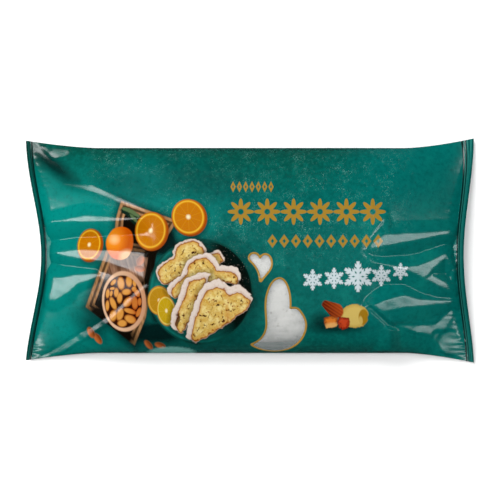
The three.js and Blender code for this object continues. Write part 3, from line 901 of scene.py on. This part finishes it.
# bowl of almonds
bowl = {
    "place": (-77.8, -31.9, 13.7, 18.7, 4), "opening": (-78.4, -32.1, 11.8, 16.3, 4),
    "rimInk": (230, 186, 150), "rimShade": (188, 128, 88), "insideInk": (48, 16, 2),
    "almondDark": (112, 48, 6), "almondLight": (220, 152, 66), "almondRed": (180, 74, 12),
    "redder": (-69.8, -34, 5, 9, 0, 5),
    # x, y, half length, half width and turn
    "almonds": [(-84.4, -20.2, 2.3, 1.2, 48), (-79.7, -20.8, 4, 2.2, -84), (-74.7, -19.5, 3.5, 2, -88),
                (-71.3, -20.7, 2.3, 1.1, -80), (-76.3, -26.1, 2.9, 1.9, 6), (-82.6, -26.5, 2.9, 1.5, 88),
                (-85.1, -24, 1.6, 0.9, 10), (-88, -27.1, 2.9, 1.2, 84), (-80.5, -29.8, 3.3, 1.7, 86),
                (-84.6, -33.2, 4.3, 1.7, -68), (-85.8, -27.1, 1.9, 0.9, 80), (-88.2, -34.6, 3.3, 1.2, 88),
                (-75.5, -32.3, 3.5, 2.3, 50), (-69.7, -26.7, 2.5, 1.5, -62), (-71.1, -32.8, 3.8, 1.8, -88),
                (-68.1, -32.1, 2.3, 1.1, 88), (-74.3, -37.9, 3.9, 1.5, -18), (-68.7, -38.6, 2.9, 1.3, 66),
                (-84.6, -40.9, 3.5, 2.3, 80), (-80.3, -40, 3.9, 2.2, 74), (-74, -42.9, 3.7, 2.4, -24),
                (-79, -45.5, 2.9, 2.2, 0), (-71.5, -24.3, 1.5, 1.6, 0)],
}


def bowlLayers(point, colour):
    mask, local, _ = oval(point, *bowl["place"])
    rim = blend(bowl["rimInk"], (splitVector(local)[0] * 0.7 + 0.1).clamped(), bowl["rimShade"])
    heights = anyOf([1 - oval(point, *place)[2] for place in bowl["almonds"]])
    rounded = (heights * 2.6).math("ADD", 0.25, clamp=True)
    almonds = blend(bowl["almondDark"], rounded, bowl["almondLight"])
    almonds = blend(almonds, spot(point, *bowl["redder"]) * 0.6, bowl["almondRed"])
    inside = blend(bowl["insideInk"], (heights + 0.13).inside(0.14), almonds)
    return blend(colour, mask, blend(rim, spot(point, *bowl["opening"]), inside))


# plate
plate = {
    "place": (-30.3, -25.9, 32.4, 32.6),
    "leftInk": (10, 118, 108), "rightInk": (0, 16, 12), "edgeInk": (4, 70, 62),
    "wellRadius": 0.9,
}


def plateLayers(point, colour):
    x, y = splitVector(point)
    mask, _, radius = oval(point, *plate["place"], edge=0.9)
    china = blend(plate["leftInk"], ((x + y * 0.2 + 44) / 26).clamped(), plate["rightInk"])
    china = blend(china, (radius - 0.965).inside(0.03), plate["edgeInk"])
    well = (radius - plate["wellRadius"]).near(0.02, 0.05)
    china = blend(china, well * 0.35, plate["rightInk"])
    return blend(colour, mask, china)


# slices
slices = {
    # from the back to the front: convex pieces of crumb, drawn anticlockwise, then the icing's reach
    "cuts": [
        ([[(-46.8, -8.2), (-41.5, -14.3), (-32.7, -8.2), (-28.2, -2), (-29.6, 2), (-33.5, 5.1),
           (-39.7, 4.6), (-44.1, 2.4), (-45.9, -1.1)],
          [(-56.3, -14.3), (-55.6, -19.2), (-51.2, -21.8), (-47.6, -19.6), (-40.6, -14.3), (-38.8, -5.5),
           (-46.3, -5.1), (-54.7, -9.9)]],
         [(-0.7, 0.5), (0.6, 0.9)]),
        ([[(-22.1, -9.9), (-18.5, -9), (-16.1, -6.8), (-19.4, -2.2), (-23.8, -2.4), (-25.6, -5.5)]],
         [(-1.2, 0.4), (0.4, 1)]),
        ([[(-32.7, -19.6), (-18.5, -19.6), (-18.5, -16.1), (-23, -8.2), (-26.5, -5.1), (-32.7, -5.9),
           (-37.1, -9), (-39.7, -17)],
          [(-22.1, -18.3), (-13.3, -20.7), (-8, -21.8), (-7.1, -18.7), (-9.3, -14.8), (-13.3, -13),
           (-22.1, -13.4)],
          [(-42.4, -18.3), (-48.1, -23.1), (-49, -26.7), (-46.8, -29.8), (-43.2, -28), (-39.7, -23.1),
           (-37.5, -14.3)]],
         [(-1.6, 1.6), (1.4, 2.6)]),
        ([[(-41.5, -37.2), (-33.5, -37.2), (-30.2, -28), (-18.6, -24), (-19.6, -19.6), (-24, -17.4),
           (-31.8, -17.6), (-37.5, -20.5), (-39.7, -26.7)],
          [(-40.6, -30.2), (-44.6, -39), (-46.3, -45.2), (-45, -50), (-41.9, -51.8), (-37.5, -44.3),
           (-32.7, -35.5), (-33.5, -28.4)]],
         [(-2.6, 1.4), (0, 2.8), (1.4, 2.4)]),
        ([[(-37.5, -52.2), (-36.2, -55.9), (-32.7, -57.1), (-25.6, -53.1), (-14.1, -45.6), (-12.8, -28.4),
           (-15.9, -24.2), (-20.3, -23), (-25.6, -24.9), (-30.4, -29.3), (-33.6, -42)],
          [(-14.1, -45.6), (-6.6, -40.2), (-0.5, -35), (0.7, -32.4), (-2.7, -28.4), (-7.1, -26.2),
           (-15, -29.3)]],
         [(-2.8, 1.2), (-0.6, 4.4), (0.2, 1.8)]),
    ],
    "rounding": 2, "join": 1.6, "crustWidth": 0.35, "ringPitch": 1.8,
    "icing": (228, 212, 200), "icingShade": (190, 156, 130), "crust": (150, 82, 14),
    "crumb": (216, 180, 90), "crumbDark": (196, 146, 44), "crumbLight": (242, 222, 146),
    "raisin": (70, 30, 12), "crack": (104, 60, 12), "browned": (204, 132, 50),
    "plum": (-44.7, -43.6, 1.2, 4.4, -6), "dusted": (-12, -14, 12, 15, 30, 12),
}


def sliceLayers(point, grain, colour):
    lumpX = noiseField(point, 5, 2, 0.6)
    lumpY = noiseField(vectorMath("ADD", point, (31, 17, 0)), 5, 2, 0.6)
    lumpy = vectorMath("ADD", point, joinVector((lumpX - 0.5) * 3.6, (lumpY - 0.5) * 3.6))
    fruitBits = noiseField(point, 3, 2, 0.5)
    pores = noiseField(point, 1.2, 3, 0.65)
    crumb = blend(slices["crumb"], lumpY.above(0.46, 6) * 0.8, slices["crumbLight"])
    crumb = blend(crumb, lumpX.above(0.56, 10) * 0.6, slices["crumbDark"])
    crumb = blend(crumb, pores.above(0.54, 7) * 0.5, slices["crumbLight"])
    crumb = blend(crumb, pores.below(0.39, 12) * 0.8, slices["crust"])
    crumb = blend(crumb, fruitBits.above(0.62, 16), slices["raisin"])
    crumb = blend(crumb, fruitBits.below(0.36, 12), slices["crust"])
    icing = blend(slices["icing"], grain.above(0.52, 4) * 0.5, slices["icingShade"])
    broken = noiseField(lumpy, 3.6, 2, 0.6).above(0.48, 9) * 0.85
    wander = (lumpY - 0.5) * 3
    for pieces, reaches in slices["cuts"]:
        cut = union(lumpy, pieces, slices["rounding"], slices["join"])
        coated = cut + 0.35
        for reach in reaches:
            shifted = vectorMath("SUBTRACT", lumpy, (*reach, 0))
            coated = coated.most(union(shifted, pieces, slices["rounding"], slices["join"]) + 0.6)
        colour = blend(colour, (coated + 1.6).inside(3.4) * 0.6, tray["shadeInk"])
        coat = blend(icing, (cut + 1).inside(1.6) * 0.5, slices["icingShade"])
        rings = (cut + wander).math("PINGPONG", slices["ringPitch"]).under(0.3, 0.3) * broken
        face = blend(crumb, (cut * -0.45 + 1).clamped() * 0.6, slices["browned"])
        face = blend(face, rings, slices["crack"])
        cutFace = blend(slices["crust"], (cut - slices["crustWidth"]).inside(0.7), face)
        colour = blend(colour, coated.inside(0.5), blend(coat, (cut + 0.2).inside(0.5), cutFace))
    colour = blend(colour, spot(lumpy, *slices["plum"]) * 0.9, slices["raisin"])
    dust = noiseField(point, 0.7, 1).above(0.7, 14)
    return blend(colour, dust * spot(point, *slices["dusted"]) * 0.8, slices["icing"])


# almond, cubes and butter curl
trio = {
    "almond": (50.9, -36.4, 7.3, 5, -33), "almondInk": (102, 28, 2), "almondLight": (178, 74, 20),
    "gingerCube": [(45.5, -42), (46, -46.1), (47.2, -48.7), (53, -47.6), (54, -46.1), (54.2, -42.3),
                   (51, -40.7)],
    "gingerInk": (216, 120, 34), "gingerDark": (140, 62, 10),
    "gingerFront": (50.4, -47.6, 4.6, 2.6, 6, 1.5), "frontInk": (232, 178, 104),
    "redCube": [(55.1, -41.3), (53.9, -44.7), (54.5, -48.1), (57.8, -49.6), (60.5, -48.4), (61.9, -45.4),
                (61.6, -42.1)],
    "redInk": (196, 66, 26), "redDark": (122, 26, 6),
    "butter": (64.6, -40.9, 8.4, 7.4, 0), "butterCore": (70, -41.6, 3, 4.9, 0),
    "butterTip": (68.4, -43.6, 1.2, 2.6, 8),
    "butterInk": (212, 184, 96), "butterDark": (160, 118, 16),
    "shades": [(54, -48, 16, 3.6, 0, 4, 0.8), (44, -43.5, 6, 4, 0, 4, 0.7)],
}


def trioLayers(point, bent, grain, colour):
    for *place, share in trio["shades"]:
        colour = blend(colour, spot(point, *place) * share, teal["crease"])
    mask, _, radius = oval(bent, *trio["butter"])
    curl = blend(trio["butterInk"], (radius - 0.85).inside(0.3) * 0.5, trio["butterDark"])
    curl = blend(curl, spot(point, *trio["butterCore"]), trio["butterDark"])
    curl = blend(curl, spot(point, *trio["butterTip"]) * 0.8, trio["butterInk"])
    colour = blend(colour, mask, curl)
    mask, local, _ = oval(point, *trio["almond"])
    u, v = splitVector(local)
    pointed = (v / (u * 0.45 + 0.8)).near(1, 0.15)
    streaks = (v * 18).math("SINE") * 0.2
    lit = (u * 0.4 + v * 0.3 + streaks + 0.4).clamped()
    colour = blend(colour, mask * pointed, blend(trio["almondInk"], lit, trio["almondLight"]))
    for name in ("ginger", "red"):
        face = polygon(bent, trio[name + "Cube"], 1)
        lit = ((face - 0.4) * 0.5 + (grain - 0.42) * 2.6).clamped()
        cube = blend(trio[name + "Dark"], lit, trio[name + "Ink"])
        if name == "ginger":
            cube = blend(cube, spot(bent, *trio["gingerFront"]) * 0.8, trio["frontInk"])
        colour = blend(colour, face.inside(0.6), cube)
    return colour


# gold rows and snowflakes
ornament = {
    # rows of eight-pointed stars and of lozenges, in millimetres
    "stars": {"from": (-13.8, 83.8), "y": 23.4, "pitch": 16.27, "radius": 10.4, "petal": 0.26,
              "hole": 1.8},
    "lozenges": {"from": (10.2, 82.6), "y": 5.3, "pitch": 7.24, "half": (3, 4.1)},
    "small": {"from": (-12.4, 14.9), "y": 38.8, "pitch": 3.9, "half": (1.6, 3.4)},
    "flakes": [(38.6, -18.6, 6.4), (51.8, -17.6, 6.4), (66.6, -16.6, 9.4), (81, -16, 6.4),
               (93, -13.4, 5.2)],
    "white": (206, 220, 224),
}

# a snowflake of six arms, each with two pairs of branches
flakeGroup, source, sink = makeGroup("snowflake", [("Local", "Vector")], [("Mask", "Float")])
u, v = splitVector(source["Local"])
sector = v.math("ARCTAN2", u).math("FLOORED_MODULO", math.pi / 3) - math.pi / 6
away = vectorMath("LENGTH", source["Local"])
alongArm = away * sector.math("COSINE")
offArm = (away * sector.math("SINE")).size()
flake = (0.1 - offArm).least(1 - alongArm)
for branchStart, branchReach in ((0.32, 0.26), (0.62, 0.2)):
    branch = 0.1 - (alongArm - branchStart - offArm * 0.7).size()
    flake = flake.most(branch.least(branchReach - offArm))
feed(flakeGroup, sink["Mask"], flake.most(0.2 - away).inside(0.06))


def rowCell(point, row):
    # the place within one cell of a repeating row, and a mask of the row's length
    x, y = splitVector(point)
    start, stop = row["from"]
    across = x - start
    u = across.math("MODULO", row["pitch"]) - row["pitch"] / 2
    within = across.inside(0.5) * across.under(stop - start, 0.5)
    return u, y - row["y"], within


def ornamentLayers(point, colour):
    row = ornament["stars"]
    u, v, within = rowCell(point, row)
    petals = (v.math("ARCTAN2", u) * 8).math("COSINE")
    starEdge = petals.math("MULTIPLY_ADD", row["petal"], 1 - row["petal"]) * row["radius"] * 0.78
    distance = vectorMath("LENGTH", joinVector(u, v))
    star = (starEdge - distance).inside(0.6) * (distance - row["hole"]).inside(0.6)
    colour = blend(colour, star * within, gold["ink"])
    rows = []
    for name in ("lozenges", "small"):
        row = ornament[name]
        u, v, within = rowCell(point, row)
        size = u.size() / row["half"][0] + v.size() / row["half"][1]
        rows.append(size.under(1, 0.22) * (size - 0.36).inside(0.2) * within)
    colour = blend(colour, anyOf(rows), gold["ink"])
    flakes = []
    for x, y, size in ornament["flakes"]:
        local = vectorMath("DIVIDE", vectorMath("SUBTRACT", point, (x, y, 0)), (size, size, 1))
        flakes.append(useGroup(point.tree, flakeGroup, local=local)["Mask"])
    return blend(colour, anyOf(flakes), ornament["white"])


def printLayers(point, colour):
    wobble = noiseField(point, 5, 2)
    grain = noiseField(point, 1.6, 3, 0.6)
    bent = vectorMath("ADD", point, joinVector((wobble - 0.5) * 3, (grain - 0.5) * 1.8))
    colour = trayLayers(point, shadeLayers(point, colour))
    colour = bowlLayers(point, fruitLayers(point, bent, colour))
    colour = twoToned(point, colour, fruit["looseAlmonds"], 1.2, fruit["nut"], fruit["nutDark"])
    colour = plateLayers(point, colour)
    for place, kind in fruit["citrusSlices"]:
        colour = citrusFace(point, colour, kind, *place)
    colour = sliceLayers(point, grain, colour)
    colour = trioLayers(point, bent, grain, colour)
    # painted highlight on the film's lower edge
    colour = blend(colour, spot(bent, *teal["paintedEdgeHighlight"]) * 0.6, teal["frost"])
    return ornamentLayers(point, colour)


def newMaterial(name, roughness, colour=(1, 1, 1, 1)):
    material = bpy.data.materials.new(name)
    material.use_nodes = True
    shader = material.node_tree.nodes["Principled BSDF"]
    shader.inputs["Roughness"].default_value = roughness
    shader.inputs["Base Color"].default_value = colour
    return material, material.node_tree, shader


def objectPlace(tree):
    return Wire(tree, tree.nodes.new("ShaderNodeTexCoord").outputs["Object"])


def attributeOf(tree, name):
    node = tree.nodes.new("ShaderNodeAttribute")
    node.attribute_name = name
    return Wire(tree, node.outputs["Fac"])


def filmMaterial(name, layers):
    material, tree, shader = newMaterial(name, 0.16)
    place = objectPlace(tree)
    # the print runs 0.5 mm off the pack's middle line
    point = vectorMath("MULTIPLY_ADD", place, (1000, 1000, 0), (0, -0.5, 0))
    colour = useGroup(tree, groundGroup, place=vectorMath("MULTIPLY", place, (1000, 1000, 1000)))["Color"]
    colour = layers(tree, point, colour)
    # painted shade: a dark line along each crimp's root, where the film folds into the crimp
    crimp = attributeOf(tree, "crimp")
    colour = blend(colour, (crimp + 0.4).near(0.7, 0.5) * 0.9, teal["crease"])
    # painted light and shade: light and dark lines across the crimp for its ribs' lit and shaded flanks
    ribs = (crimp * (2 * math.pi * seal["paintedRibLines"])).math("SINE").math("MULTIPLY_ADD", 0.5, 0.5)
    onCrimp = (crimp - 0.02).inside(0.02)
    colour = blend(colour, onCrimp * ribs.math("POWER", 2) * 0.6, teal["seal"])
    colour = blend(colour, onCrimp * (1 - ribs).math("POWER", 2) * 0.6, teal["crease"])
    feed(tree, shader.inputs["Base Color"], colour)
    return material


def frontLayers(tree, point, colour):
    colour = printLayers(point, colour)
    rim = attributeOf(tree, "windowDistance").under(gold["rimWidth"], 0.4)
    return blend(colour, rim, gold["rim"])


printedFilm = filmMaterial("printedFilm", frontLayers)
plainFilm = filmMaterial("plainFilm", lambda tree, point, colour: colour)

clearFilm, tree, shader = newMaterial("clearFilm", 0.12, (0.8, 0.85, 0.84, 1))
shader.inputs["Alpha"].default_value = 0.12

crust = {
    "sugar": (214, 211, 206), "thick": (190, 186, 182), "speck": (150, 132, 104),
    # low: the ink of the painted shade at the bottom of the large window
    "seam": (110, 92, 72), "bare": (92, 66, 44), "low": (84, 88, 82), "lowShadePlace": (20, -62, 18, 5, 12, 4),
}
sugar, tree, shader = newMaterial("sugaredCrust", 0.95)
place = objectPlace(tree)
point = vectorMath("MULTIPLY", place, (1000, 1000, 1000))
patchy = noiseField(point, 6, 4, 0.6)
specks = noiseField(point, 0.9, 2, 0.6)
colour = blend(crust["sugar"], patchy.above(0.48, 5), crust["thick"])
colour = blend(colour, specks.above(0.66, 12) * 0.6, crust["speck"])
seams = (noiseField(point, 16, 3, 0.6) - 0.5).near(0.006, 0.02)
colour = blend(colour, seams * patchy.above(0.45, 5) * 0.6, crust["seam"])
colour = blend(colour, noiseField(point, 2.4, 3, 0.6).above(0.63, 14) * 0.6, crust["bare"])
# painted shade, broken up by the specks, on the loaf's low side at the bottom of the large window
low = spot(vectorMath("MULTIPLY", place, (1000, 1000, 0)), *crust["lowShadePlace"])
colour = blend(colour, low * specks.above(0.4, 5) * 0.8, crust["low"])
feed(tree, shader.inputs["Base Color"], colour)

for piece, material, slot, node in (
        (filmFront, printedFilm, "printed_film", "wrapper"),
        (filmBack, plainFilm, "printed_film", "wrapper"),
        (windowSmall, clearFilm, "clear_film", "window_small"),
        (windowLarge, clearFilm, "clear_film", "window_large"),
        (stollen, sugar, "sugared_crust", "stollen")):
    piece.data.materials.append(material)
    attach(piece, "root")
    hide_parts(node)
print("materials made")

# floor, light and camera
studio = {"frameWidth": 0.3125, "cameraHeight": 2.6, "cameraShift": 0.0003}
bpy.ops.mesh.primitive_plane_add(size=6, location=(0, 0, 0))
floor = bpy.context.object
floor.name = "floor"
paper, tree, shader = newMaterial("paper", 0.9, (0.95, 0.95, 0.95, 1))
shader.inputs["Specular IOR Level"].default_value = 0
floor.data.materials.append(paper)
floor.visible_glossy = False  # the film's rims stay dark, as over a light table


def areaLight(name, place, target, width, depth, energy, glossy=True):
    # width runs along the pack and depth across it
    data = bpy.data.lights.new(name, "AREA")
    data.shape = "RECTANGLE"
    data.size = width
    data.size_y = depth
    data.energy = energy
    light = bpy.data.objects.new(name, data)
    bpy.context.scene.collection.objects.link(light)
    light.location = place
    reach = np.array(target, dtype=float) - np.array(place)
    reach /= np.linalg.norm(reach)
    light.rotation_euler = (math.asin(reach[1]), math.atan2(-reach[0], -reach[2]), 0)
    light.visible_glossy = glossy


areaLight("leftStrip", (-1.2, 0, 0.95), (-0.09, 0, 0), 2.1, 0.12, 9)
areaLight("rightStrip", (1.2, 0, 0.95), (0.09, 0, 0), 2.1, 0.12, 5.6)
areaLight("keyFill", (-0.64, 0.95, 1.5), (0, 0, 0), 1.2, 1.2, 45, glossy=False)
areaLight("softFill", (0.4, -0.5, 1.9), (0, 0, 0), 2, 2, 26, glossy=False)

scene = bpy.context.scene
scene.world = bpy.data.worlds.new("studio")
scene.world.use_nodes = True
background = scene.world.node_tree.nodes["Background"]
background.inputs["Color"].default_value = (1, 1, 1, 1)
background.inputs["Strength"].default_value = 0.02
scene.view_settings.view_transform = "Standard"

cameraData = bpy.data.cameras.new("camera")
cameraData.sensor_width = 36
cameraData.lens = 36 * studio["cameraHeight"] / studio["frameWidth"]
camera = bpy.data.objects.new("camera", cameraData)
scene.collection.objects.link(camera)
camera.location = (0, studio["cameraShift"], studio["cameraHeight"])
scene.camera = camera
